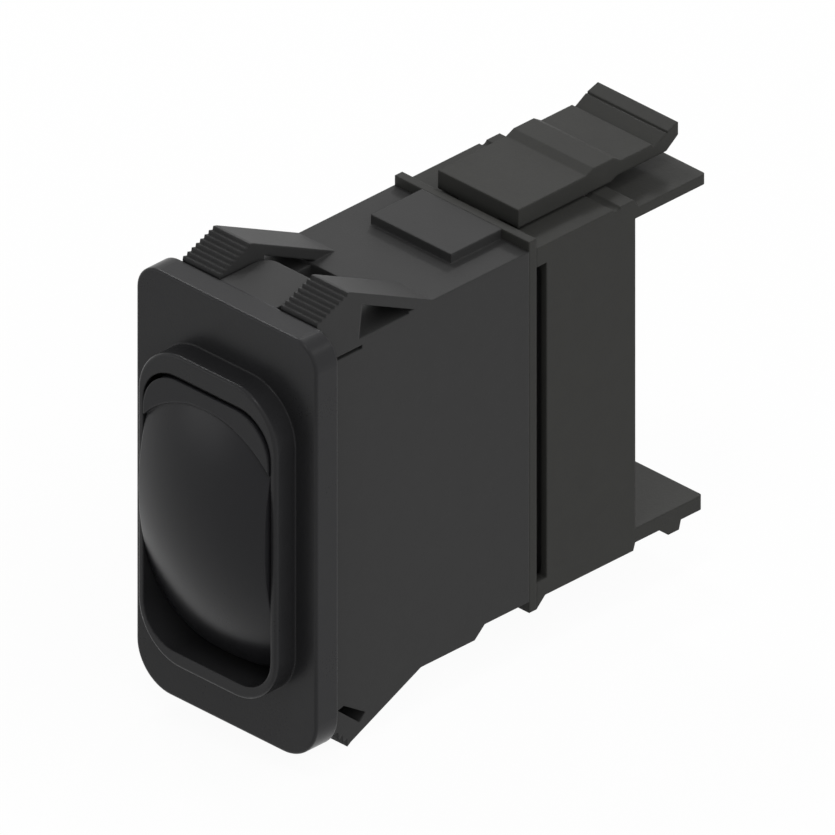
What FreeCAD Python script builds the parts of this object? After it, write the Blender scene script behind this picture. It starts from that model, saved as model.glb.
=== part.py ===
"""Panel rocker switch with its rear plug fitted, in millimetres.

The frame: +X right, +Z up, and the face that the finger presses looks along -Y.
The origin is the centre of the panel cut-out, on the bezel's back face (y = 0).
The switch is drawn at rest, with its rocker level in the centre-off position.
"""

import FreeCAD, Part
import math
import os

from FreeCAD import Vector

# How far a cutting block runs past the faces it opens, how deep a joined piece is sunk into
# its neighbour, and how near two places count as one
over = 1.0
sink = 0.2
touch = 0.01

# Bezel, the plate that lies on the front of the panel
bezel_width = 26.8
bezel_height = 50.9
bezel_lift = 0.35
bezel_thickness = 3.2
bezel_top_corner = 3.2
bezel_bottom_corner = 5.0
bezel_edge = 0.3

# Guard rim, the raised wall around the rocker, and the pocket inside it
guard_proud = 2.9
guard_side_wall = 0.8
guard_end_wall = 1.7
guard_edge = 0.35
pocket_width = 19.0
pocket_height = 34.4
pocket_corner = 4.6
pocket_depth = 9.6
pocket_lip = 0.9

# Switch body behind the panel
body_width = 20.0
body_height = 43.9
body_length = 31.9
body_wall = 1.4
cavity_height = 38.4
heel_length = 8.1
heel_run = 1.5
heel_step = 1.35

# Snap wings at the top and bottom of the body
wing_width = 5.4
wing_plate = 1.35
wing_tip = 5.4
wing_toe_gap = 0.3
wing_tooth = 0.62
wing_top_rise = 5.9
wing_top_root = 17.6
wing_top_toe_drop = 2.1
wing_block = 6.6
wing_floor_drop = 0.25
wing_slit = 0.45
wing_slit_drop = 1.6
wing_bottom_rise = 4.8
wing_bottom_root = 15.8
wing_bottom_toe_drop = 1.9
wing_bottom_toe_flat = 3.1
wing_hole_run = 2.5
wing_hole_height = 0.9
recess_rear = 14.0
tab_width = 8.4
tab_length = 7.0
tab_corner = 1.6
tooth_lead = 0.15
tooth_rise = 1.6

# Pad and collar behind the body
pad_width = 11.9
pad_length = 7.6
pad_rise = 1.15
collar_length = 1.1

# Rocker
rocker_side_gap = 0.2
rocker_end_gap = 1.0
rocker_corner_room = 0.4
rocker_proud = 2.6
rocker_dome_radius = 32.0
rocker_dome_rise = 1.5
rocker_crown = 2.6
rocker_crown_reach = 11.3
ridge_proud = 0.2
ridge_drop = 0.2
ridge_low = 14.0
ridge_arch_radius = 12.5
ridge_edge = 0.3
rocker_wall = 1.5
rocker_skirt = 0.9
rib_thickness = 1.0
rib_setback = 0.6
notch_room = 0.35
rocker_travel_deg = 8.0
pivot_depth = 2.0
pin_radius = 1.0
pin_clearance = 0.04
pin_slip = 0.01
pin_bore_inset = 0.3
pin_end_gap = 0.05
pin_chamfer = 0.2
lug_thickness = 1.5
lug_radius = 2.4
lug_root_depth = 1.0
lug_clearance = 0.25
stem_length = 14.5
stem_height = 7.6
stem_chamfer = 1.2

# Plungers and their springs
pole_pitch = 8.8
plunger_radius = 1.45
plunger_clearance = 0.05
plunger_ball = 0.9
plunger_guide = 5.5
plunger_cone = 0.8
plunger_neck = 1.2
spring_radius = 1.05
spring_wire = 0.28
spring_turns = 6
spring_length = 4.2
spring_end_gap = 0.02

# Moving contacts
contact_room = 4.4
contact_ratio = 0.5
contact_gap = 0.06
contact_width = 5.4
contact_waist = 4.4
contact_waist_room = 0.5
contact_corner = 1.2
contact_thickness = 0.6
contact_half_length = 11.4
contact_button_z = 10.0
saddle_half = 3.0
button_radius = 1.2
button_height = 0.6
button_bevel = 0.15
closed_gap = 0.05

# Terminals
blade_width = 6.3
blade_thickness = 0.8
blade_reach = 10.0
blade_chamfer = 1.0
terminal_pitch = 12.2
fork_clearance = 0.15
fork_height = 1.3
knife_gap = 0.04
foot_length = 4.0

# Contact base that closes the rear of the body
base_depth = 7.5
base_clearance = 0.1
barrier_thickness = 1.2
barrier_length = 6.9
barrier_reach = 2.0
neck_length = 3.4
neck_width = 16.4
neck_height = 36.6
neck_corner = 1.5
gasket_length = 1.6
gasket_depth = 0.9
gasket_setback = 3.3

# Plug
plug_length = 14.7
plug_bottom_wall = 1.7
plug_top_wall = 1.2
plug_height_below = 20.7
plug_height_above = 20.75
plug_slot_length = 1.5
plug_slot_depth = 2.5
plug_slot_low = 18.7
plug_slot_high = 19.6
plug_chamfer = 1.3
plug_floor_gap = 0.6
plug_roof = 21.85
plug_roof_length = 14.5
plug_roof_ramp = 0.8
plug_step = 0.3
top_plate_length = 10.5
bottom_plate_length = 10.0
bottom_plate_depth = 19.8
plate_corner = 0.4
foot_bump_place = 3.6
foot_bump_ramp = 1.3
foot_bump_length = 1.6
foot_bump_drop = 1.1
cavity_width = 7.2
cavity_thickness = 2.8
seal_thickness = 0.9
seal_length = 1.4
seal_setback = 0.4

# Latch lever on top of the plug
lever_width = 11.94
lever_setback = 1.3
lever_arm = 10.7
lever_top = 24.4
lever_underside = 22.2
lever_pivot_z = 22.1
lever_travel_deg = 6.0
lever_crown = 0.5
lever_crown_ramp = 1.1
lever_crown_length = 3.0
lever_dip = 0.2
tail_length = 13.1
tail_top = 25.4
tail_depth = 1.5
tail_ramp = 3.5
tail_step = 0.35
tail_foot = 0.65
tail_groove_place = 1.55
tail_groove = 0.22
lever_pin_radius = 0.6
lever_clearance = 0.25
tail_lift = 0.4
lever_post_radius = 1.2
lever_post_width = 1.2
lever_post_inset = 1.4
post_room = 0.25
latch_bore_inset = 0.5
latch_pin_inset = 0.7
hook_length = 1.1
hook_lead = 0.5
catch_share = 0.9
catch_length = 3.1
catch_thickness = 1.0
catch_lip = 0.2
catch_gap = 0.15
hook_play = 0.3
return_spring_place = 6.0
return_spring_radius = 1.5
return_spring_wire = 0.25
return_spring_turns = 3

# Places that follow from the sizes above
bezel_front = -bezel_thickness
guard_front = bezel_front - guard_proud
body_half = body_width / 2
body_top = body_height / 2
cavity_half = body_half - body_wall
cavity_top = cavity_height / 2
pocket_half = pocket_width / 2
pocket_top = pocket_height / 2
guard_half = pocket_half + guard_side_wall
guard_top = pocket_top + guard_end_wall
pocket_floor = guard_front + pocket_depth
collar_front = body_length
collar_rear = body_length + collar_length
heel_start = body_length - heel_length
base_front = body_length - base_depth
barrier_front = base_front - barrier_length
gasket_front = body_length - gasket_setback
blade_tip = collar_rear + blade_reach
plug_rear = collar_rear + plug_length
roof_rear = collar_rear + plug_roof_length
top_plate_reach = plug_rear + top_plate_length
bottom_plate_reach = plug_rear + bottom_plate_length
foot_bump_start = plug_rear + foot_bump_place
lever_front = collar_rear + lever_setback
lever_pivot_y = lever_front + lever_arm
catch_reach = lever_front + catch_length
return_spring_y = lever_pivot_y + return_spring_place
collar_top = body_top + pad_rise
rocker_front = guard_front - rocker_proud
dome_centre = rocker_front + rocker_dome_radius
rocker_half = pocket_half - rocker_side_gap
rocker_top = pocket_top - rocker_end_gap
rocker_corner = pocket_corner + rocker_corner_room
ridge_front = guard_front - ridge_proud
ridge_top = rocker_top - ridge_drop
lug_inner = pocket_half - lug_thickness
stem_half = lug_inner - lug_clearance
stem_end = stem_length
plunger_tip = base_front - contact_room
plunger_reach = plunger_tip - pivot_depth
contact_face = plunger_tip + contact_gap
contact_axis_y = contact_face + contact_thickness
tip_centre_radius = plunger_reach - plunger_ball
saddle_radius = plunger_ball + contact_gap + tip_centre_radius / (1 + 2 * contact_ratio)
saddle_depth = saddle_radius - math.sqrt(saddle_radius ** 2 - saddle_half ** 2)
arm_face = contact_face - saddle_depth
arm_rear = arm_face + contact_thickness
contact_travel_deg = rocker_travel_deg * contact_ratio
button_swing = (contact_button_z + button_radius) * math.sin(math.radians(contact_travel_deg))
open_gap = button_swing + closed_gap
button_front = arm_rear + button_height + open_gap
foot_front = button_front + button_height
neck_rear = collar_rear + neck_length
pole_x = pole_pitch / 2
hook_arm = lever_pivot_y - lever_front - hook_length
hook_rise = hook_arm * math.sin(math.radians(lever_travel_deg))
catch_height = catch_share * hook_rise
catch_top = lever_underside - catch_height - hook_play
OUT = "parts"


def box(x0, x1, y0, y1, z0, z1):
    """A block between two corners."""
    return Part.makeBox(x1 - x0, y1 - y0, z1 - z0, Vector(x0, y0, z0))


def rod_x(radius, x0, x1, y, z):
    """A round bar along X."""
    return Part.makeCylinder(radius, x1 - x0, Vector(x0, y, z), Vector(1, 0, 0))


def rod_y(radius, y0, y1, x, z):
    """A round bar along Y."""
    return Part.makeCylinder(radius, y1 - y0, Vector(x, y0, z), Vector(0, 1, 0))


def side_profile(points, x0, x1):
    """A closed outline of (y, z) points, carried along X."""
    corners = [Vector(x0, y, z) for y, z in points]
    face = Part.Face(Part.makePolygon(corners + corners[:1]))
    return face.extrude(Vector(x1 - x0, 0, 0))


def plan_profile(points, z0, z1):
    """A closed outline of (x, y) points, carried along Z."""
    corners = [Vector(x, y, z0) for x, y in points]
    face = Part.Face(Part.makePolygon(corners + corners[:1]))
    return face.extrude(Vector(0, 0, z1 - z0))


def edges_along(shape, axis):
    """The straight edges of a shape that run along one axis."""
    chosen = []
    for edge in shape.Edges:
        if not isinstance(edge.Curve, Part.Line) or len(edge.Vertexes) < 2:
            continue
        run = edge.Vertexes[1].Point - edge.Vertexes[0].Point
        if abs(run.normalize().dot(axis)) > 1 - touch:
            chosen.append(edge)
    return chosen


def round_block(half_x, half_z, corner, y0, y1, low_corner=None):
    """A block whose four long edges along Y are rounded, the lower two apart if asked."""
    block = box(-half_x, half_x, y0, y1, -half_z, half_z)
    upper = []
    lower = []
    for edge in edges_along(block, Vector(0, 1, 0)):
        if edge.BoundBox.ZMin > 0:
            upper.append(edge)
        else:
            lower.append(edge)
    return block.makeFillet(corner, upper).makeFillet(low_corner or corner, lower)


def front_edges(shape, y):
    """The edges of a shape that lie in the plane at one depth."""
    chosen = []
    for edge in shape.Edges:
        bounds = edge.BoundBox
        if abs(bounds.YMin - y) < touch and abs(bounds.YMax - y) < touch:
            chosen.append(edge)
    return chosen


def bezel_plate():
    """The plate that lies on the panel, its front edge rounded."""
    plate = round_block(bezel_width / 2, bezel_height / 2, bezel_top_corner, bezel_front, 0,
                        bezel_bottom_corner)
    plate = plate.makeFillet(bezel_edge, front_edges(plate, bezel_front))
    plate.translate(Vector(0, 0, bezel_lift))
    return plate


def guard_rim():
    """The raised rim that keeps the rocker from being knocked."""
    rim = round_block(guard_half, guard_top, pocket_corner + guard_end_wall, guard_front, 0)
    return rim.makeFillet(guard_edge, front_edges(rim, guard_front))


def body_sleeve():
    """The box behind the panel, with the step in its underside."""
    heel_end = heel_start + heel_run
    return side_profile([
        (0, body_top),
        (body_length, body_top),
        (body_length, heel_step - body_top),
        (heel_end, heel_step - body_top),
        (heel_start, -body_top),
        (0, -body_top),
    ], -body_half, body_half)


def ratchet(start, end, teeth):
    """Points of a saw-tooth edge from start to end, each tooth steep at its front."""
    pitch_y = (end[0] - start[0]) / teeth
    pitch_z = (end[1] - start[1]) / teeth
    points = []
    for index in range(teeth):
        y = start[0] + index * pitch_y
        z = start[1] + index * pitch_z
        points.append((y, z))
        points.append((y + tooth_lead * pitch_y, z + tooth_rise * pitch_z))
    points.append(end)
    return points


def wing_outline(rise, root, toe_drop, toe_flat):
    """Side view of one snap arm: toe, saw teeth up to the tip, and the slope to its root."""
    tip = (wing_tip, body_top + rise)
    toe = (wing_toe_gap + toe_flat, body_top + rise - toe_drop)
    outline = ratchet(toe, tip, round((tip[0] - toe[0]) / wing_tooth))
    if toe_flat:
        outline.insert(0, (wing_toe_gap, toe[1]))
    outline.append((root, body_top))
    return outline


def top_arm(x0, x1):
    """A top snap arm: a sloped plate down to its root, and a toothed block that a slit frees."""
    floor = body_top - wing_slit_drop + wing_slit
    outline = wing_outline(wing_top_rise, wing_top_root, wing_top_toe_drop, 0)
    outline.append((wing_top_root, floor))
    outline.append((wing_toe_gap, floor))
    lean = wing_top_rise / (wing_top_root - wing_tip)
    sill = body_top - wing_floor_drop
    peak_y = wing_block + wing_slit
    peak = body_top + wing_top_rise - lean * (peak_y - wing_tip) - wing_plate
    window = side_profile([
        (wing_block, sill),
        (peak_y + (peak - sill) / lean, sill),
        (peak_y, peak),
    ], x0 - over, x1 + over)
    return side_profile(outline, x0, x1).cut(window)


def bottom_arm(x0, x1):
    """A bottom snap arm, drawn as a top one: solid but for one slanted hole near its tip."""
    outline = wing_outline(wing_bottom_rise, wing_bottom_root, wing_bottom_toe_drop,
                           wing_bottom_toe_flat)
    outline.append((wing_bottom_root, body_top - wing_slit))
    outline.append((wing_toe_gap, body_top - wing_slit))
    start = wing_toe_gap + wing_bottom_toe_flat
    hole = side_profile([
        (start, body_top + wing_floor_drop),
        (start + wing_hole_height, body_top),
        (wing_block + wing_hole_height, body_top + wing_hole_run - wing_slit),
        (wing_block, body_top + wing_hole_run + wing_slit),
    ], x0 - over, x1 + over)
    return side_profile(outline, x0, x1).cut(hole)


def wing_recesses():
    """The space under the top arms: slits under their blocks, and a trough between them."""
    inner = body_half - wing_width
    reach = body_half + over
    low = body_top - wing_slit_drop
    return [
        box(-reach, reach, 0, wing_block + wing_slit, low, body_top + over),
        box(-inner, inner, 0, recess_rear, low, body_top + over),
        box(-reach, reach, 0, recess_rear, body_top - wing_floor_drop, body_top + over),
    ]


def stop_tab():
    """The tab between two snap arms, which centres the body in the cut-out."""
    tab = box(-tab_width / 2, tab_width / 2, 0, tab_length,
              body_top - wing_slit_drop, body_top + wing_top_rise - wing_top_toe_drop)
    rear = []
    for edge in edges_along(tab, Vector(0, 0, 1)):
        if edge.BoundBox.YMin > tab_length - touch:
            rear.append(edge)
    return tab.makeFillet(tab_corner, rear)


def turned_over(shape):
    """The same shape turned half round about Y, for the underside."""
    copy = shape.copy()
    copy.rotate(Vector(0, 0, 0), Vector(0, 1, 0), 180)
    return copy


def wings():
    """Both arms and the tab of the top and of the bottom."""
    inner = body_half - wing_width
    solids = [stop_tab(), turned_over(stop_tab())]
    for x0, x1 in ((-body_half, -inner), (inner, body_half)):
        solids.append(top_arm(x0, x1))
        solids.append(turned_over(bottom_arm(x0, x1)))
    return solids


def pivot_lugs():
    """Two bosses inside the pocket's side walls that hold the rocker's pin."""
    lugs = []
    for side in (-1, 1):
        x0, x1 = sorted((side * lug_inner, side * (pocket_half + sink)))
        round_end = rod_x(lug_radius, x0, x1, pivot_depth, 0)
        root = box(x0, x1, pivot_depth, pocket_floor + lug_root_depth, -lug_radius, lug_radius)
        lugs.append(round_end.fuse(root))
    return lugs


def pad():
    """The raised pad on top of the body, under the plug's latch."""
    return box(-pad_width / 2, pad_width / 2, collar_front - pad_length, collar_front,
               body_top - sink, collar_top)


def pocket():
    """The space that the rocker swings in, with a lip over its top edge at the mouth."""
    deep = round_block(pocket_half, pocket_top, pocket_corner, guard_front, pocket_floor)
    deep = deep.makeChamfer(pocket_lip, front_edges(deep, guard_front))
    mouth = round_block(pocket_half, pocket_top - pocket_lip / 2, pocket_corner,
                        guard_front - over, pocket_floor)
    mouth.translate(Vector(0, 0, -pocket_lip / 2))
    return mouth.fuse(deep)


def switch_body():
    """Bezel, guard rim, sleeve, snap wings and pivot lugs, moulded in one."""
    shell = body_sleeve().cut(wing_recesses())
    shell = shell.fuse([bezel_plate(), guard_rim(), pad()] + wings())
    shell = shell.cut([
        pocket(),
        box(-cavity_half, cavity_half, pocket_floor, body_length + over, -cavity_top, cavity_top),
    ])
    shell = shell.fuse(pivot_lugs())
    pin_half = pocket_half - pin_bore_inset
    shell = shell.cut(rod_x(pin_radius, -pin_half, pin_half, pivot_depth, 0))
    return shell.removeSplitter()


def barrel(radius):
    """A barrel about the dome's axis, which gives the rocker's face its crown."""
    half_x = rocker_crown_reach
    crest = rocker_dome_rise + radius
    left = Vector(-half_x, dome_centre, crest - rocker_crown)
    middle = Vector(0, dome_centre, crest)
    right = Vector(half_x, dome_centre, crest - rocker_crown)
    start = Vector(-half_x, dome_centre, rocker_dome_rise)
    end = Vector(half_x, dome_centre, rocker_dome_rise)
    outline = Part.Wire([
        Part.makeLine(start, left),
        Part.Arc(left, middle, right).toShape(),
        Part.makeLine(right, end),
        Part.makeLine(end, start),
    ])
    return Part.Face(outline).revolve(start, Vector(1, 0, 0), 360)


def ridge():
    """The thumb ridge across the rocker's top end, with an arched lower edge."""
    bar = round_block(rocker_half, ridge_top, rocker_corner, ridge_front, rocker_skirt)
    arch_centre = ridge_low - ridge_arch_radius
    side_low = arch_centre + math.sqrt(ridge_arch_radius ** 2 - rocker_half ** 2)
    reach = rocker_half + over
    front = ridge_front - over
    rear = rocker_skirt + over
    bar = bar.cut([
        rod_y(ridge_arch_radius, front, rear, 0, arch_centre),
        box(-reach, reach, front, rear, -rocker_top - over, side_low),
    ])
    arch = []
    for edge in front_edges(bar, ridge_front):
        if isinstance(edge.Curve, Part.Circle) and edge.Curve.Radius > 2 * rocker_corner:
            arch.append(edge)
    return bar.makeFillet(ridge_edge, arch)


def rocker_shell():
    """The hollow cap of the rocker, domed from end to end, with its thumb ridge."""
    outer = round_block(rocker_half, rocker_top, rocker_corner, rocker_front - over, rocker_skirt)
    outer = outer.common(barrel(rocker_dome_radius)).fuse(ridge())
    inner = round_block(rocker_half - rocker_wall, rocker_top - rocker_wall,
                        rocker_corner - rocker_wall, rocker_front, rocker_skirt + over)
    inner = inner.common(barrel(rocker_dome_radius - rocker_wall))
    return outer.cut(inner)


def rocker_stem():
    """The block under the cap that holds the pivot and the two plungers."""
    half = stem_height / 2
    stem = box(-stem_half, stem_half, rocker_front, stem_end, -half, half)
    corners = []
    for edge in edges_along(stem, Vector(1, 0, 0)):
        if edge.BoundBox.YMin > stem_end - touch:
            corners.append(edge)
    stem = stem.makeChamfer(stem_chamfer, corners)
    return stem.common(barrel(rocker_dome_radius - rocker_wall / 2))


def rocker():
    """Cap, stem and end ribs in one moulding, with its bores."""
    ribs = []
    for x in (-pole_x, pole_x):
        rib = box(x - rib_thickness / 2, x + rib_thickness / 2, rocker_front,
                  rocker_skirt - rib_setback, -rocker_top + rocker_wall / 2,
                  rocker_top - rocker_wall / 2)
        ribs.append(rib.common(barrel(rocker_dome_radius - rocker_wall / 2)))
    body = rocker_shell().fuse([rocker_stem()] + ribs)
    reach = rocker_half + over
    cuts = [rod_x(pin_radius + pin_clearance, -reach, reach, pivot_depth, 0)]
    notch_half = lug_radius + lug_clearance + notch_room
    for side in (-1, 1):
        x0, x1 = sorted((side * stem_half, side * reach))
        cuts.append(box(x0, x1, pivot_depth - notch_half, rocker_skirt + over,
                        -notch_half, notch_half))
        cuts.append(rod_y(plunger_radius + plunger_clearance, bore_floor(), stem_end + over,
                          side * pole_x, 0))
    return body.cut(cuts).removeSplitter()


def bore_floor():
    """Depth of the plunger bores' blind end."""
    return stem_end - plunger_guide - spring_length


def pivot_pin():
    """The steel pin that the rocker tilts on."""
    half = pocket_half - pin_bore_inset - pin_end_gap
    pin = rod_x(pin_radius - pin_slip, -half, half, pivot_depth, 0)
    return pin.makeChamfer(pin_chamfer, [edge for edge in pin.Edges if edge.Closed])


def plunger(x):
    """A plunger: a round body that narrows to a neck with a ball end."""
    tail = stem_end - plunger_guide
    ball_y = plunger_tip - plunger_ball
    neck_start = ball_y - plunger_neck
    cone_start = neck_start - plunger_cone
    body = rod_y(plunger_radius, tail, cone_start, x, 0)
    cone = Part.makeCone(plunger_radius, plunger_ball, plunger_cone,
                         Vector(x, cone_start, 0), Vector(0, 1, 0))
    neck = rod_y(plunger_ball, neck_start, ball_y, x, 0)
    ball = Part.makeSphere(plunger_ball, Vector(x, ball_y, 0))
    return body.fuse([cone, neck, ball]).removeSplitter()


def coil_spring(length, radius, wire, turns):
    """A compression spring that stands on Z = 0, with its wire inside its length."""
    margin = wire / 2 + spring_end_gap
    rise = length - 2 * margin
    middle = radius - wire / 2
    helix = Part.makeHelix(rise / turns, rise, middle)
    section = Part.Wire(Part.makeCircle(wire / 2, Vector(middle, 0, 0), Vector(0, 1, 0)))
    coil = Part.Wire(helix).makePipeShell([section], True, True)
    coil.translate(Vector(0, 0, margin))
    return coil


def plunger_spring(x):
    """The spring between the bore's floor and the plunger's tail."""
    coil = coil_spring(spring_length, spring_radius, spring_wire, spring_turns)
    coil.rotate(Vector(0, 0, 0), Vector(1, 0, 0), -90)
    coil.translate(Vector(x, bore_floor(), 0))
    return coil


def latch_spring():
    """The small spring under the lever's tail that keeps its hook down."""
    length = lever_underside + tail_lift - plug_height_above
    coil = coil_spring(length, return_spring_radius, return_spring_wire, return_spring_turns)
    coil.translate(Vector(0, return_spring_y, plug_height_above))
    return coil


def contact_strip():
    """The formed strip in side view: a saddle between two straight arms."""
    front_r = saddle_radius
    centre = contact_face - saddle_radius
    rear_r = front_r + contact_thickness
    spread = math.sqrt(rear_r ** 2 - (arm_rear - centre) ** 2)
    low = -contact_half_length
    high = contact_half_length
    points_y = (arm_face, arm_rear)
    corner = [Vector(0, points_y[0], low), Vector(0, points_y[0], -saddle_half),
              Vector(0, contact_face, 0), Vector(0, points_y[0], saddle_half),
              Vector(0, points_y[0], high), Vector(0, points_y[1], high),
              Vector(0, points_y[1], spread), Vector(0, contact_axis_y, 0),
              Vector(0, points_y[1], -spread), Vector(0, points_y[1], low)]
    outline = Part.Wire([
        Part.makeLine(corner[0], corner[1]),
        Part.Arc(corner[1], corner[2], corner[3]).toShape(),
        Part.makeLine(corner[3], corner[4]),
        Part.makeLine(corner[4], corner[5]),
        Part.makeLine(corner[5], corner[6]),
        Part.Arc(corner[6], corner[7], corner[8]).toShape(),
        Part.makeLine(corner[8], corner[9]),
        Part.makeLine(corner[9], corner[0]),
    ])
    strip = Part.Face(outline).extrude(Vector(contact_width, 0, 0))
    strip.translate(Vector(-contact_width / 2, 0, 0))
    return strip


def moving_contact(x):
    """A see-saw strip with side notches at its waist and round ends."""
    strip = contact_strip()
    notch_half = blade_thickness / 2 + contact_waist_room
    front = arm_face - over
    rear = contact_axis_y + over
    cuts = []
    for side in (-1, 1):
        x0, x1 = sorted((side * contact_waist / 2, side * (contact_width / 2 + over)))
        cuts.append(box(x0, x1, front, rear, -notch_half, notch_half))
    strip = strip.cut(cuts)
    ends = round_block(contact_width / 2, contact_half_length, contact_corner, front, rear)
    strip = strip.common(ends)
    strip.translate(Vector(x, 0, 0))
    return strip


def contact_button(x, z, front, facing):
    """A rivet's head; its working face, at its front (-1) or rear (1), has a bevelled rim."""
    head = rod_y(button_radius, front, front + button_height, x, z)
    rim_y = front if facing < 0 else front + button_height
    return head.makeChamfer(button_bevel, front_edges(head, rim_y))


def blade(x, z, y0):
    """A flat quick-connect blade with a bevelled tip, along Y."""
    half = blade_width / 2
    flat = plan_profile([
        (-half, y0), (half, y0), (half, blade_tip - blade_chamfer),
        (half - blade_chamfer, blade_tip), (blade_chamfer - half, blade_tip),
        (-half, blade_tip - blade_chamfer),
    ], -blade_thickness / 2, blade_thickness / 2)
    flat.translate(Vector(x, 0, z))
    return flat


def centre_terminal(x):
    """A blade whose inner end is the fork that the see-saw strip rocks on."""
    edge = contact_axis_y + knife_gap + blade_thickness / 2
    plate = blade(x, 0, edge)
    knife = rod_x(blade_thickness / 2, x - blade_width / 2, x + blade_width / 2, edge, 0)
    prongs = []
    for side in (-1, 1):
        x0, x1 = sorted((side * (contact_waist / 2 + fork_clearance), side * blade_width / 2))
        prongs.append(box(x + x0, x + x1, arm_face - fork_height, edge,
                          -blade_thickness / 2, blade_thickness / 2))
    return plate.fuse([knife] + prongs).removeSplitter()


def end_terminal(x, side):
    """A blade whose inner end is bent towards the middle to carry a button."""
    z = side * terminal_pitch
    plate = blade(x, z, foot_front)
    tip = side * (terminal_pitch - foot_length)
    z0, z1 = sorted((z + side * blade_thickness / 2, tip))
    half = contact_width / 2
    foot = box(x - half, x + half, foot_front, foot_front + blade_thickness, z0, z1)
    return plate.fuse(foot).removeSplitter()


def contact_base():
    """The rear moulding that carries the terminals and closes the body."""
    half_x = cavity_half - base_clearance
    half_z = cavity_top - base_clearance
    block = box(-half_x, half_x, base_front, collar_front, -half_z, half_z)
    gasket_rear = gasket_front + gasket_length
    groove = box(-half_x - over, half_x + over, gasket_front, gasket_rear,
                 -half_z - over, half_z + over)
    core = box(-half_x + gasket_depth, half_x - gasket_depth, gasket_front - over,
               gasket_rear + over, -half_z + gasket_depth, half_z - gasket_depth)
    block = block.cut(groove.cut(core))
    collar = box(-body_half, body_half, collar_front, collar_rear, -body_top, collar_top)
    neck = round_block(neck_width / 2, neck_height / 2, neck_corner, collar_rear, neck_rear)
    barrier_top = terminal_pitch + barrier_reach
    barrier = box(-barrier_thickness / 2, barrier_thickness / 2, barrier_front, base_front,
                  -barrier_top, barrier_top)
    tooth = hook_length + hook_play
    catch = side_profile([
        (collar_rear, catch_top - catch_thickness),
        (collar_rear, catch_top),
        (lever_front + tooth, catch_top),
        (lever_front + tooth, catch_top + catch_height),
        (catch_reach, catch_top + catch_lip),
        (catch_reach, catch_top - catch_thickness),
    ], -lever_width / 4, lever_width / 4)
    base = block.fuse([collar, neck, barrier, catch])
    slots = []
    for x in (-pole_x, pole_x):
        for z in (-terminal_pitch, 0, terminal_pitch):
            slots.append(box(x - blade_width / 2, x + blade_width / 2, base_front - over,
                             neck_rear + over, z - blade_thickness / 2, z + blade_thickness / 2))
    return base.cut(slots).removeSplitter()


def base_gasket():
    """The soft ring in the base's groove, which keeps water out of the body."""
    outer = box(-cavity_half, cavity_half, gasket_front, gasket_front + gasket_length,
                -cavity_top, cavity_top)
    half_x = cavity_half - base_clearance - gasket_depth
    half_z = cavity_top - base_clearance - gasket_depth
    hole = box(-half_x, half_x, gasket_front - over, gasket_front + gasket_length + over,
               -half_z, half_z)
    return outer.cut(hole)


def plug_outline():
    """The plug's side view: chamfered mouth, top wall and bottom wall run on as plates."""
    top = plug_height_above
    low = -plug_height_below
    mouth = collar_rear
    bump_front = foot_bump_start + foot_bump_ramp
    bump_rear = bump_front + foot_bump_length
    return [
        (mouth, plug_roof),
        (roof_rear, plug_roof),
        (roof_rear + plug_roof_ramp, top),
        (top_plate_reach, top),
        (top_plate_reach, top - plug_top_wall),
        (plug_rear, top - plug_top_wall),
        (plug_rear, plug_bottom_wall - bottom_plate_depth),
        (bottom_plate_reach, plug_bottom_wall - bottom_plate_depth),
        (bottom_plate_reach, -bottom_plate_depth),
        (bump_rear + plug_step, -bottom_plate_depth),
        (bump_rear, -bottom_plate_depth - foot_bump_drop),
        (bump_front, -bottom_plate_depth - foot_bump_drop),
        (foot_bump_start, -bottom_plate_depth),
        (plug_rear, -bottom_plate_depth),
        (plug_rear - plug_step, low),
        (mouth + plug_chamfer, low),
        (mouth, -body_top),
    ]


def plug_body():
    """The plug's housing, open at its rear where the wires go in."""
    shell = side_profile(plug_outline(), -body_half, body_half)
    corners = []
    for edge in edges_along(shell, Vector(0, 0, 1)):
        if edge.BoundBox.YMin > bottom_plate_reach - touch:
            corners.append(edge)
    shell = shell.makeFillet(plate_corner, corners)
    mouth_x = neck_width / 2 + seal_thickness
    mouth_z = neck_height / 2 + seal_thickness
    floor = neck_rear + plug_floor_gap
    cuts = [round_block(mouth_x, mouth_z, neck_corner, collar_rear - over, floor)]
    for side in (-1, 1):
        x0, x1 = sorted((side * (body_half - plug_slot_depth), side * (body_half + over)))
        cuts.append(box(x0, x1, collar_rear - over, collar_rear + plug_slot_length,
                        -plug_slot_low, plug_slot_high))
    for x in (-pole_x, pole_x):
        for z in (-terminal_pitch, 0, terminal_pitch):
            cuts.append(box(x - cavity_width / 2, x + cavity_width / 2, floor - over,
                            plug_rear + over, z - cavity_thickness / 2, z + cavity_thickness / 2))
    catch_half = lever_width / 4 + catch_gap
    cuts.append(box(-catch_half, catch_half, collar_rear - over, catch_reach + hook_play,
                    catch_top - catch_thickness - catch_gap, plug_roof + over))
    shell = shell.cut(cuts)
    return shell.fuse(lever_posts()).cut(lever_pin_bore()).removeSplitter()


def post_span(side, clearance):
    """Where one post of the lever starts and ends along X."""
    outer = lever_width / 2 - lever_post_inset + clearance
    inner = lever_width / 2 - lever_post_inset - lever_post_width - clearance
    return sorted((side * inner, side * outer))


def lever_posts():
    """Two short posts on the plug's top that carry the latch lever's pin."""
    posts = []
    for side in (-1, 1):
        x0, x1 = post_span(side, 0)
        round_top = rod_x(lever_post_radius, x0, x1, lever_pivot_y, lever_pivot_z)
        root = box(x0, x1, lever_pivot_y - lever_post_radius, lever_pivot_y + lever_post_radius,
                   plug_height_above - sink, lever_pivot_z)
        posts.append(round_top.fuse(root))
    return posts


def lever_pin_bore():
    """The hole through the lever's posts."""
    return rod_x(lever_pin_radius, -lever_width, lever_width, lever_pivot_y, lever_pivot_z)


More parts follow.
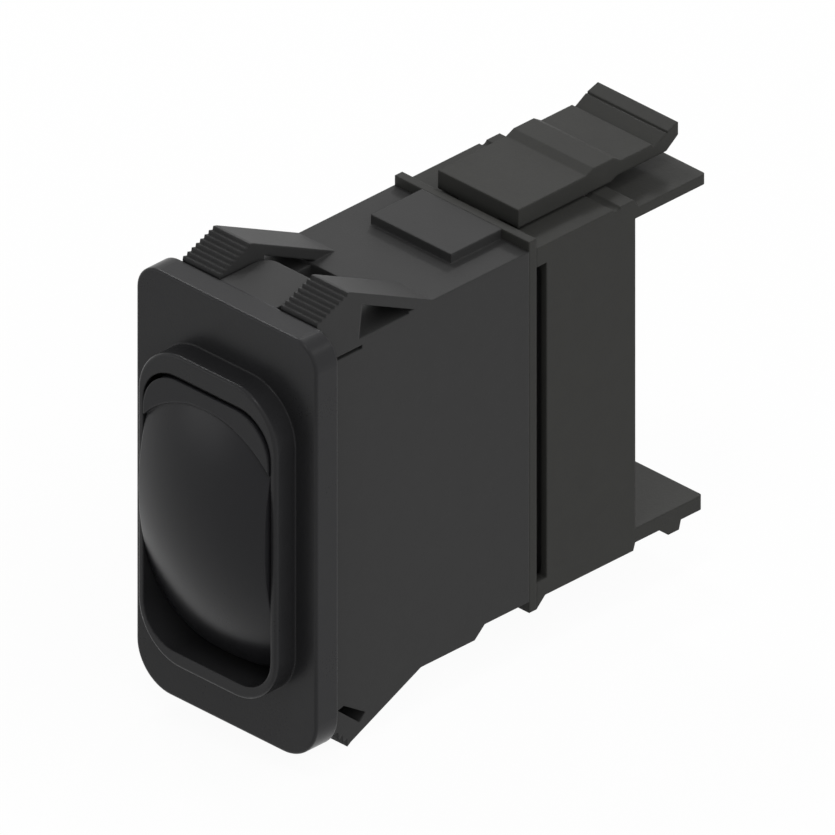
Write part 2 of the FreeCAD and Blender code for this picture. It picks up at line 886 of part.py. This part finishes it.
def latch_lever():
    """The rocking lever: hook in front, thumb tab behind, pivot between."""
    half = lever_width / 2
    low = lever_underside
    top = lever_top
    crown_start = lever_pivot_y - lever_crown_ramp / 2
    crown_end = crown_start + lever_crown_ramp + lever_crown_length
    dip_start = crown_end + lever_crown_ramp
    tail_rear = lever_pivot_y + tail_length
    ramp_start = tail_rear - tail_ramp
    ramp_end = tail_rear - tail_groove_place
    lever = side_profile([
        (lever_front, low),
        (lever_front, top),
        (crown_start, top),
        (crown_start + lever_crown_ramp, top + lever_crown),
        (crown_end, top + lever_crown),
        (dip_start, top - lever_dip),
        (ramp_start - tail_step, top - lever_dip),
        (ramp_start, top - tail_foot),
        (ramp_end, tail_top - lever_crown),
        (tail_rear, tail_top),
        (tail_rear, tail_top - tail_depth),
        (ramp_end - lever_dip, low + tail_lift),
        (crown_end + lever_crown, low + tail_lift),
        (crown_end - lever_crown, low),
    ], -half, half)
    hook_low = low - catch_height
    hook = side_profile([
        (lever_front, low + sink),
        (lever_front, hook_low + hook_lead),
        (lever_front + hook_lead, hook_low),
        (lever_front + hook_length, hook_low),
        (lever_front + hook_length, low + sink),
    ], -lever_width / 4, lever_width / 4)
    groove = box(-half - over, half + over, ramp_end - tail_groove, ramp_end,
                 tail_top - lever_crown - tail_groove, tail_top + over)
    lever = lever.fuse(hook)
    cuts = [groove]
    room = lever_post_radius + lever_clearance
    for side in (-1, 1):
        x0, x1 = post_span(side, lever_clearance)
        cuts.append(rod_x(room, x0, x1, lever_pivot_y, lever_pivot_z))
        cuts.append(box(x0, x1, lever_pivot_y - room - post_room, lever_pivot_y + room + post_room,
                        low - over, low + post_room))
    bore_half = half - latch_bore_inset
    cuts.append(rod_x(lever_pin_radius + pin_clearance, -bore_half, bore_half,
                      lever_pivot_y, lever_pivot_z))
    return lever.cut(cuts).removeSplitter()


def latch_pin():
    """The thin steel pin of the latch lever."""
    half = lever_width / 2 - latch_pin_inset
    return rod_x(lever_pin_radius - pin_slip, -half, half, lever_pivot_y, lever_pivot_z)


def plug_seal():
    """The soft ring between the plug's mouth and the base's neck."""
    front = collar_rear + plug_slot_length + seal_setback
    rear = front + seal_length
    outer = round_block(neck_width / 2 + seal_thickness, neck_height / 2 + seal_thickness,
                        neck_corner, front, rear)
    inner = round_block(neck_width / 2, neck_height / 2, neck_corner, front - over, rear + over)
    return outer.cut(inner)


def save(name, shape):
    """Write one node and print what it holds."""
    shape.exportStep(os.path.join(OUT, name + ".step"))
    print(f"{name:28s} solids {len(shape.Solids)}  volume {shape.Volume:9.2f}"
          f"  valid {shape.isValid()}")


def main():
    """Build every piece and write it to its own file."""
    os.makedirs("parts", exist_ok=True)
    save("switch_body", switch_body())
    save("rocker", rocker())
    save("rocker_pin", pivot_pin())
    save("contact_base", contact_base())
    save("base_gasket", base_gasket())
    save("plug_body", plug_body())
    save("plug_seal", plug_seal())
    save("latch_lever", latch_lever())
    save("latch_pin", latch_pin())
    save("latch_spring", latch_spring())
    for side, x in (("left", -pole_x), ("right", pole_x)):
        save(f"plunger_{side}", plunger(x))
        save(f"plunger_spring_{side}", plunger_spring(x))
        save(f"moving_contact_{side}", moving_contact(x))
        save(f"centre_terminal_{side}", centre_terminal(x))
        for end, sign in (("upper", 1), ("lower", -1)):
            z = sign * contact_button_z
            save(f"end_terminal_{side}_{end}", end_terminal(x, sign))
            save(f"fixed_button_{side}_{end}", contact_button(x, z, button_front, -1))
            save(f"moving_button_{side}_{end}", contact_button(x, z, arm_rear, 1))


main()
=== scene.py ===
import math

import bpy
import numpy as np
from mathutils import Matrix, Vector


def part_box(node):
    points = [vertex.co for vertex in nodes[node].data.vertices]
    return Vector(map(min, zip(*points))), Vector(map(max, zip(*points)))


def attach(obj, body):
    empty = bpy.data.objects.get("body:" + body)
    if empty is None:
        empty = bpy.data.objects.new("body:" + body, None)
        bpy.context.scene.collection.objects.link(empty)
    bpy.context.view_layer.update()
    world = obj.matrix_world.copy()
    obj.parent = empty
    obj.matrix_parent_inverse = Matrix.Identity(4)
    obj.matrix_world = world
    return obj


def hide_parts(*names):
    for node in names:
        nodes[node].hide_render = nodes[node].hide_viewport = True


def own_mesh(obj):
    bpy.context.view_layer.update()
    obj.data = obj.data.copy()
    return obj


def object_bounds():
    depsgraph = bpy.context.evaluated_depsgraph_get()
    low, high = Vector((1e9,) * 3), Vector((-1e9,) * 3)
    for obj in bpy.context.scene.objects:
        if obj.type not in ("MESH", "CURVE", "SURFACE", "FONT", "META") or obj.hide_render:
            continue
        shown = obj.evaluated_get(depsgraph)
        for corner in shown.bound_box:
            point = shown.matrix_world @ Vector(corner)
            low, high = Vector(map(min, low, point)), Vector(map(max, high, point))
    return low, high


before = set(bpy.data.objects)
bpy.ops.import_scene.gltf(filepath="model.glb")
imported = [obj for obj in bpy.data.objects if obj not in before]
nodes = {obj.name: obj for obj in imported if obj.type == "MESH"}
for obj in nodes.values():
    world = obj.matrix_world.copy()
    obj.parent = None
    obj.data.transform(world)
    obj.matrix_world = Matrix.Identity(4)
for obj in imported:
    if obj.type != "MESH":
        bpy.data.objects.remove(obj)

cad_low, cad_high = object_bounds()

# The switch body is one nylon moulding: bezel, raised guard rim, sleeve and four snap wings. Behind
# the panel it is matt black with the fine spark grain of its mould. The bezel and guard rim in
# front have a higher polish, so their soft edges catch the light, and they are painted a deeper
# black as painted shade for their forward-facing faces.

body_black = (0.027, 0.027, 0.027)
# bezel_black_painted_shade, darker than body_black, is painted shade for the faces in front of the
# panel.
bezel_black_painted_shade = (0.018, 0.018, 0.019)
body_roughness = 0.52
bezel_roughness = 0.30
body_tint = 0.18
plastic_shine = 0.15
# The y range where the front's polish and its painted shade take over.
polish_and_shade_start = 0.0004
polish_and_shade_end = 0.0001
edge_round = 0.0003
edge_samples = 6
mould_grain = 0.00022
mould_grain_height = 0.000012
grain_strength = 0.9
grain_gloss = 0.10
flow_size = 0.011
flow_detail = 2.0
flow_gloss = 0.12
dust_in_grains = 9
dust_detail = 4.0
dust_roughness = 0.7
gloss_low = 0.05
gloss_high = 0.95


class Shade:
    """One output of a material's nodes. Sums and products of outputs add the Math nodes."""

    def __init__(self, tree, socket=None):
        self.tree = tree
        self.socket = socket

    def make(self, kind, settings=None, sockets=None, output=0):
        """Add a node: its settings first, then the values or links of its sockets.

        An end node has no output, and then nothing is given back.
        """
        node = self.tree.nodes.new(kind)
        for name, value in (settings or {}).items():
            setattr(node, name, value)
        for name, value in (sockets or {}).items():
            if isinstance(value, Shade):
                self.tree.links.new(value.socket, node.inputs[name])
            else:
                node.inputs[name].default_value = value
        return Shade(self.tree, node.outputs[output]) if len(node.outputs) else None

    def maths(self, operation, *values):
        """One Math node."""
        return self.make("ShaderNodeMath", {"operation": operation}, dict(enumerate(values)))

    def __add__(self, other):
        return self.maths("ADD", self, other)

    __radd__ = __add__

    def __sub__(self, other):
        return self.maths("SUBTRACT", self, other)

    def __rsub__(self, other):
        return self.maths("SUBTRACT", other, self)

    def __mul__(self, other):
        return self.maths("MULTIPLY", self, other)

    __rmul__ = __mul__

    def clamp(self, low, high):
        """The value held between two limits."""
        return self.maths("MINIMUM", self.maths("MAXIMUM", self, low), high)


def start_material(name):
    """An empty node material, and the Shade that its nodes grow from."""
    material = bpy.data.materials.new(name)
    material.use_nodes = True
    material.node_tree.nodes.clear()
    return material, Shade(material.node_tree)


def close_material(grow, surface):
    """Send a shader to the material's output."""
    grow.make("ShaderNodeOutputMaterial", {}, {"Surface": surface})


def grain(grow, place, size, detail=3.0, roughness=0.55):
    """Noise whose lumps are about one size, in metres, as a value from 0 to 1."""
    return grow.make("ShaderNodeTexNoise", {"noise_dimensions": "3D"}, {
        "Vector": place, "Scale": 1.0 / size, "Detail": detail, "Roughness": roughness}, "Fac")


def blend(grow, factor, first, second):
    """A colour between two: the first where the factor is 0, the second where it is 1."""
    return grow.make("ShaderNodeMix", {"data_type": "RGBA"}, {
        "Factor": factor, "A": (*first, 1.0), "B": (*second, 1.0)}, "Result")


def moulded_plastic(name, colour, roughness, grain_size, grain_height, tint, polished_shaded_colour=None):
    """Black moulding: tone = colour times (1 + flow + dust), bump = spark grain.

    Roughness follows the grain and the flow. The edges are rounded in the shading only. In front of
    the panel, where y falls from polish_and_shade_start to polish_and_shade_end, a smoother finish
    takes over, and with it a darker colour that is painted shade for the forward-facing faces.
    """
    material, grow = start_material(name)
    place = grow.make("ShaderNodeTexCoord", {}, {}, "Object")
    flow = grain(grow, place, flow_size, flow_detail)
    fine = grain(grow, place, grain_size)
    dust = grain(grow, place, grain_size * dust_in_grains, dust_detail, dust_roughness)
    strength = (flow - 0.5) * tint + (dust - 0.5) * tint + 1.0
    shade = grow.make("ShaderNodeCombineXYZ", {}, {0: strength, 1: strength, 2: strength})
    rounded = grow.make("ShaderNodeBevel", {"samples": edge_samples}, {"Radius": edge_round})
    bump = grow.make("ShaderNodeBump", {}, {
        "Strength": grain_strength, "Distance": grain_height, "Height": fine, "Normal": rounded})
    ground = colour
    # In front of the panel the darker colour is painted shade; the lower roughness is the real
    # polish.
    if polished_shaded_colour:
        depth = grow.make("ShaderNodeSeparateXYZ", {}, {0: place}, 1)
        front = grow.make("ShaderNodeMapRange", {}, {
            "Value": depth, "From Min": polish_and_shade_start, "From Max": polish_and_shade_end})
        ground = blend(grow, front, colour, polished_shaded_colour)
        roughness = front * (bezel_roughness - roughness) + roughness
    tone = grow.make("ShaderNodeVectorMath", {"operation": "MULTIPLY"}, {0: shade, 1: ground})
    gloss = (fine - 0.5) * grain_gloss + (flow - 0.5) * flow_gloss + roughness
    surface = grow.make("ShaderNodeBsdfPrincipled", {}, {
        "Base Color": tone, "Roughness": gloss.clamp(gloss_low, gloss_high), "Normal": bump,
        "Specular IOR Level": plastic_shine})
    close_material(grow, surface)
    return material


def dress(node, material):
    """Give a carried-over node its finish."""
    mesh = nodes[node].data
    mesh.materials.clear()
    mesh.materials.append(material)


dress("switch_body", moulded_plastic("body_nylon", body_black, body_roughness, mould_grain,
                                     mould_grain_height, body_tint, bezel_black_painted_shade))

# The rocker is a domed cap in the same nylon, polished in its mould so that it shines a little.
# It tilts on a steel pin between two bosses of the body. Its stem, pivot bore and plunger bores
# are hidden in the body behind it.

rocker_black = (0.014, 0.014, 0.0155)
rocker_roughness = 0.31
rocker_tint = 0.10
rocker_grain = mould_grain * 0.8
rocker_grain_height = mould_grain_height * 0.4

dress("rocker", moulded_plastic("rocker_nylon", rocker_black, rocker_roughness, rocker_grain,
                                rocker_grain_height, rocker_tint))

# The contact base closes the rear of the body. The plug is pushed onto it and held by the latch
# lever on its top. All three are moulded in nylon that is duller than the body and faintly mottled
# by the glass in it.

plug_black = (0.029, 0.029, 0.027)
plug_roughness = 0.58
plug_tint = 0.22
plug_grain = mould_grain * 1.3
plug_grain_height = mould_grain_height * 1.2

plug_nylon = moulded_plastic("plug_nylon", plug_black, plug_roughness, plug_grain,
                             plug_grain_height, plug_tint)
for node in ("contact_base", "plug_body", "latch_lever"):
    dress(node, plug_nylon)

# The contacts carry the current. Two rolled copper strips see-saw on the centre terminals. The
# terminals are stamped from brass sheet and held in the contact base. The silver buttons are
# rivets: two on each strip, and one on each end terminal.

copper_tone = (0.72, 0.36, 0.20)
brass_tone = (0.72, 0.55, 0.25)
silver_tone = (0.74, 0.73, 0.70)
copper_roughness = 0.28
brass_roughness = 0.25
silver_roughness = 0.30
x_axis, y_axis, z_axis = 0, 1, 2
roll_line = 0.00012
roll_detail = 2.0
roll_squeeze = 0.04
roll_height = 0.00001
roll_strength = 0.15
roll_gloss = 0.15
tarnish_size = 0.004
tarnish_detail = 4.0
tarnish_cover = 0.5
tarnish_gloss = 0.1
tarnish_tone = (0.6, 0.52, 0.5)


def rolled_metal(name, colour, roughness, along):
    """Rolled or drawn metal: noise squeezed along one axis gives fine lines.

    Soft clouds of tarnish mix in the colour times the tarnish tone, and lines and clouds both add
    to the roughness.
    """
    material, grow = start_material(name)
    place = grow.make("ShaderNodeTexCoord", {}, {}, "Object")
    squeeze = [1.0, 1.0, 1.0]
    squeeze[along] = roll_squeeze
    drawn = grow.make("ShaderNodeMapping", {}, {"Vector": place, "Scale": squeeze})
    lines = grain(grow, drawn, roll_line, roll_detail)
    cloud = grain(grow, place, tarnish_size, tarnish_detail)
    dull = [bright * share for bright, share in zip(colour, tarnish_tone)]
    tone = blend(grow, cloud * tarnish_cover, colour, dull)
    gloss = lines * roll_gloss + cloud * tarnish_gloss + roughness
    bump = grow.make("ShaderNodeBump", {}, {
        "Strength": roll_strength, "Distance": roll_height, "Height": lines})
    surface = grow.make("ShaderNodeBsdfPrincipled", {}, {
        "Base Color": tone, "Roughness": gloss, "Metallic": 1.0, "Normal": bump})
    close_material(grow, surface)
    return material


copper = rolled_metal("strip_copper", copper_tone, copper_roughness, z_axis)
brass = rolled_metal("blade_brass", brass_tone, brass_roughness, y_axis)
silver = rolled_metal("button_silver", silver_tone, silver_roughness, x_axis)
for side in ("left", "right"):
    dress(f"moving_contact_{side}", copper)
    dress(f"centre_terminal_{side}", brass)
    for end in ("upper", "lower"):
        dress(f"end_terminal_{side}_{end}", brass)
        dress(f"fixed_button_{side}_{end}", silver)
        dress(f"moving_button_{side}_{end}", silver)

# The rocker tilts on a ground steel pin, and the latch lever on a thinner one between two posts on
# the plug. Fine lines run along them.

steel_tone = (0.55, 0.55, 0.56)
steel_roughness = 0.25

steel = rolled_metal("pin_steel", steel_tone, steel_roughness, x_axis)
for node in ("rocker_pin", "latch_pin"):
    dress(node, steel)

# The two plungers are pins of natural acetal with a ball end. They slide in the rocker's stem and
# stroke the contact strips. Their cream tone changes a little over the surface.

acetal_shade = (0.74, 0.71, 0.63)
acetal_light = (0.80, 0.78, 0.72)
acetal_roughness = 0.3
acetal_gloss = 0.1
acetal_lump = 0.0008


def cloudy_solid(name, shade, light, lump, roughness, gloss):
    """One noise goes between two tones and adds up to the gloss share to the roughness."""
    material, grow = start_material(name)
    place = grow.make("ShaderNodeTexCoord", {}, {}, "Object")
    cloud = grain(grow, place, lump)
    surface = grow.make("ShaderNodeBsdfPrincipled", {}, {
        "Base Color": blend(grow, cloud, shade, light), "Roughness": cloud * gloss + roughness})
    close_material(grow, surface)
    return material


acetal = cloudy_solid("plunger_acetal", acetal_shade, acetal_light, acetal_lump,
                      acetal_roughness, acetal_gloss)
for side in ("left", "right"):
    dress(f"plunger_{side}", acetal)

# Two soft black rings keep water out: one in the contact base's groove, inside the body, and one
# between the plug's mouth and the base's neck. A faint bloom makes the rubber uneven.

rubber_shade = (0.012, 0.012, 0.013)
rubber_light = (0.020, 0.020, 0.021)
rubber_roughness = 0.6
rubber_gloss = 0.2
rubber_lump = 0.0012

rubber = cloudy_solid("seal_rubber", rubber_shade, rubber_light, rubber_lump,
                      rubber_roughness, rubber_gloss)
for node in ("base_gasket", "plug_seal"):
    dress(node, rubber)

# Three compression springs are wound from drawn steel wire: one behind each plunger, in the
# rocker's stem, and one under the latch lever. Their end coils lie close.

plunger_wire = 0.00028
plunger_turns = 6
latch_wire = 0.00025
latch_turns = 3
end_slack = 0.00002
coil_steps = 48
wire_sides = 12


def coil_spring(name, node, along, wire, turns):
    """A circle of half the wire's thickness carried along a helix that fills the node's box.

    The helix climbs one wire thickness in its first turn and in its last, and evenly between them.
    Both ends of the wire are closed by a point at the middle of the last circle.
    """
    low, high = (np.array(corner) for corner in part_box(node))
    first, second = (along + 1) % 3, (along + 2) % 3
    middle = (low + high) / 2
    margin = wire / 2 + end_slack
    turn = np.linspace(0.0, turns, turns * coil_steps + 1)
    climb = np.interp(turn, [0, 1, turns - 1, turns],
                      [low[along] + margin, low[along] + margin + wire,
                       high[along] - margin - wire, high[along] - margin])
    sweep = 2 * np.pi * turn
    lean = 2 * np.pi * np.linspace(0.0, 1.0, wire_sides, endpoint=False)
    reach = (high[first] - low[first]) / 2 - wire / 2 + wire / 2 * np.cos(lean)
    grid = np.empty((len(turn), wire_sides, 3))
    grid[..., first] = middle[first] + reach * np.cos(sweep)[:, None]
    grid[..., second] = middle[second] + reach * np.sin(sweep)[:, None]
    grid[..., along] = climb[:, None] + wire / 2 * np.sin(lean)
    caps = np.stack([grid[0].mean(axis=0), grid[-1].mean(axis=0)])
    points = np.concatenate([grid.reshape(-1, 3), caps])
    ring = np.arange(wire_sides)
    after = np.roll(ring, -1)
    start = np.arange(len(turn) - 1)[:, None] * wire_sides
    walls = np.stack([start + ring, start + wire_sides + ring,
                      start + wire_sides + after, start + after], axis=-1).reshape(-1, 4)
    last = (len(turn) - 1) * wire_sides
    tips = np.concatenate([
        np.stack([ring, after, np.full(wire_sides, len(points) - 2)], axis=-1),
        np.stack([last + after, last + ring, np.full(wire_sides, len(points) - 1)], axis=-1)])
    mesh = bpy.data.meshes.new(name)
    mesh.from_pydata(points.tolist(), [], walls.tolist() + tips.tolist())
    mesh.shade_smooth()
    mesh.materials.append(steel)
    spring = bpy.data.objects.new(name, mesh)
    bpy.context.collection.objects.link(spring)
    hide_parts(node)
    return spring, tuple(low), high[along] - low[along]


for side in ("left", "right"):
    spring, foot, length = coil_spring(f"plunger_coil_{side}", f"plunger_spring_{side}", y_axis,
                                       plunger_wire, plunger_turns)
    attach(spring, "rocker")
    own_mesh(spring)
spring, foot, length = coil_spring("latch_coil", "latch_spring", z_axis, latch_wire, latch_turns)
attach(spring, "switch_housing")
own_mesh(spring)

# The studio is a white floor under a white sky, whose light comes mostly from the right, on the
# long side. A small key lamp behind the left shoulder lights the tops and casts the sharp shadows,
# and lamps above and in front draw the highlights. The floor keeps only a faint shadow.

floor_gap = 0.0002
floor_reach = 3.0
floor_white = 1.12
floor_share = 0.85
floor_grey = 0.30
lamp_aim = (0.0, 0.025, 0.0)
key_power = 0.40
key_size = 0.06
key_place = (-0.268, 0.468, 0.341)
corner_power = 0.16
corner_size = 0.12
corner_place = (0.35, 0.43, 0.43)
crest_power = 0.50
crest_size = 0.10
crest_place = (-0.305, 0.13, 0.38)
window_power = 0.44
window_size = 0.30
window_place = (-0.36, -0.48, 0.08)
brow_power = 0.55
brow_size = 0.12
brow_place = (0.10, -0.16, 0.52)
sky_white = (1.0, 1.0, 1.0, 1.0)
sky_level = 0.31
sky_lean = (1.60, 0.10, 0.05)
sky_floor = 0.03
sky_top = 4.0


def flat_sheet(name, half, z):
    """A square sheet: x and y run over a 2 by 2 grid at one height."""
    x, y = np.meshgrid((-half, half), (-half, half))
    corners = np.stack([x, y, np.full_like(x, z)], axis=-1).reshape(-1, 3)
    mesh = bpy.data.meshes.new(name)
    mesh.from_pydata(corners.tolist(), [], [(0, 1, 3, 2)])
    sheet = bpy.data.objects.new(name, mesh)
    bpy.context.collection.objects.link(sheet)
    return sheet


def soft_lamp(name, place, size, power):
    """A square lamp that faces the switch."""
    lamp = bpy.data.lights.new(name, "AREA")
    lamp.size = size
    lamp.energy = power
    holder = bpy.data.objects.new(name, lamp)
    holder.location = place
    aim = Vector(lamp_aim) - holder.location
    holder.rotation_euler = aim.to_track_quat("-Z", "Y").to_euler()
    bpy.context.collection.objects.link(holder)


def backdrop_rays(grow):
    """1 for rays from the camera, a shiny surface or glass, which see a white backdrop, else 0."""
    camera_ray = grow.make("ShaderNodeLightPath", {}, {}, "Is Camera Ray")
    glossy_ray = grow.make("ShaderNodeLightPath", {}, {}, "Is Glossy Ray")
    glass_ray = grow.make("ShaderNodeLightPath", {}, {}, "Is Transmission Ray")
    return (camera_ray + glossy_ray + glass_ray).clamp(0.0, 1.0)


paper, grow = start_material("studio_paper")
lit = grow.make("ShaderNodeBsdfDiffuse", {}, {"Color": (floor_grey, floor_grey, floor_grey, 1.0)})
white = grow.make("ShaderNodeEmission", {}, {"Color": sky_white, "Strength": floor_white})
close_material(grow, grow.make("ShaderNodeMixShader", {}, {
    0: backdrop_rays(grow) * floor_share, 1: lit, 2: white}))
floor = flat_sheet("studio_floor", floor_reach, cad_low[2] - floor_gap)
floor.data.materials.append(paper)

soft_lamp("key_lamp", key_place, key_size, key_power)
soft_lamp("corner_lamp", corner_place, corner_size, corner_power)
soft_lamp("crest_lamp", crest_place, crest_size, crest_power)
soft_lamp("window_lamp", window_place, window_size, window_power)
soft_lamp("brow_lamp", brow_place, brow_size, brow_power)

world = bpy.data.worlds.new("studio_world")
bpy.context.scene.world = world
world.use_nodes = True
world.node_tree.nodes.clear()
grow = Shade(world.node_tree)
paths = backdrop_rays(grow)
heading = grow.make("ShaderNodeTexCoord", {}, {}, "Generated")
slope = grow.make("ShaderNodeVectorMath", {"operation": "DOT_PRODUCT"},
                  {0: heading, 1: sky_lean}, "Value")
level = (slope + sky_level).clamp(sky_floor, sky_top) * (1 - paths) + paths
sky = grow.make("ShaderNodeBackground", {}, {"Color": sky_white, "Strength": level})
grow.make("ShaderNodeOutputWorld", {}, {"Surface": sky})

# The camera looks down from the front right corner with no perspective, as the photograph does.
# The picture shows 9.5 pixels to the millimetre. The frame's origin, the middle of the panel
# cut-out on the bezel's back face, lies at origin_u, origin_v in it.

azimuth = math.radians(45.0)
elevation = math.radians(30.0)
picture_px = 835.0
px_per_m = 9500.0
origin_u = 247.7
origin_v = 506.1
camera_distance = 0.4
lens_near = 0.01
lens_far = 10.0

back = np.array([math.sin(azimuth) * math.cos(elevation),
                 -math.cos(azimuth) * math.cos(elevation), math.sin(elevation)])
right = np.array([math.cos(azimuth), math.sin(azimuth), 0.0])
up = np.cross(back, right)
shift_u = picture_px / 2 - origin_u
shift_v = picture_px / 2 - origin_v
centre = (right * shift_u - up * shift_v) / px_per_m
lens = bpy.data.cameras.new("camera")
lens.type = "ORTHO"
lens.ortho_scale = picture_px / px_per_m
lens.clip_start = lens_near
lens.clip_end = lens_far
camera = bpy.data.objects.new("camera", lens)
camera.location = centre + back * camera_distance
camera.rotation_euler = Vector(-back).to_track_quat("-Z", "Y").to_euler()
bpy.context.collection.objects.link(camera)
bpy.context.scene.camera = camera
bpy.context.scene.view_settings.view_transform = "Standard"
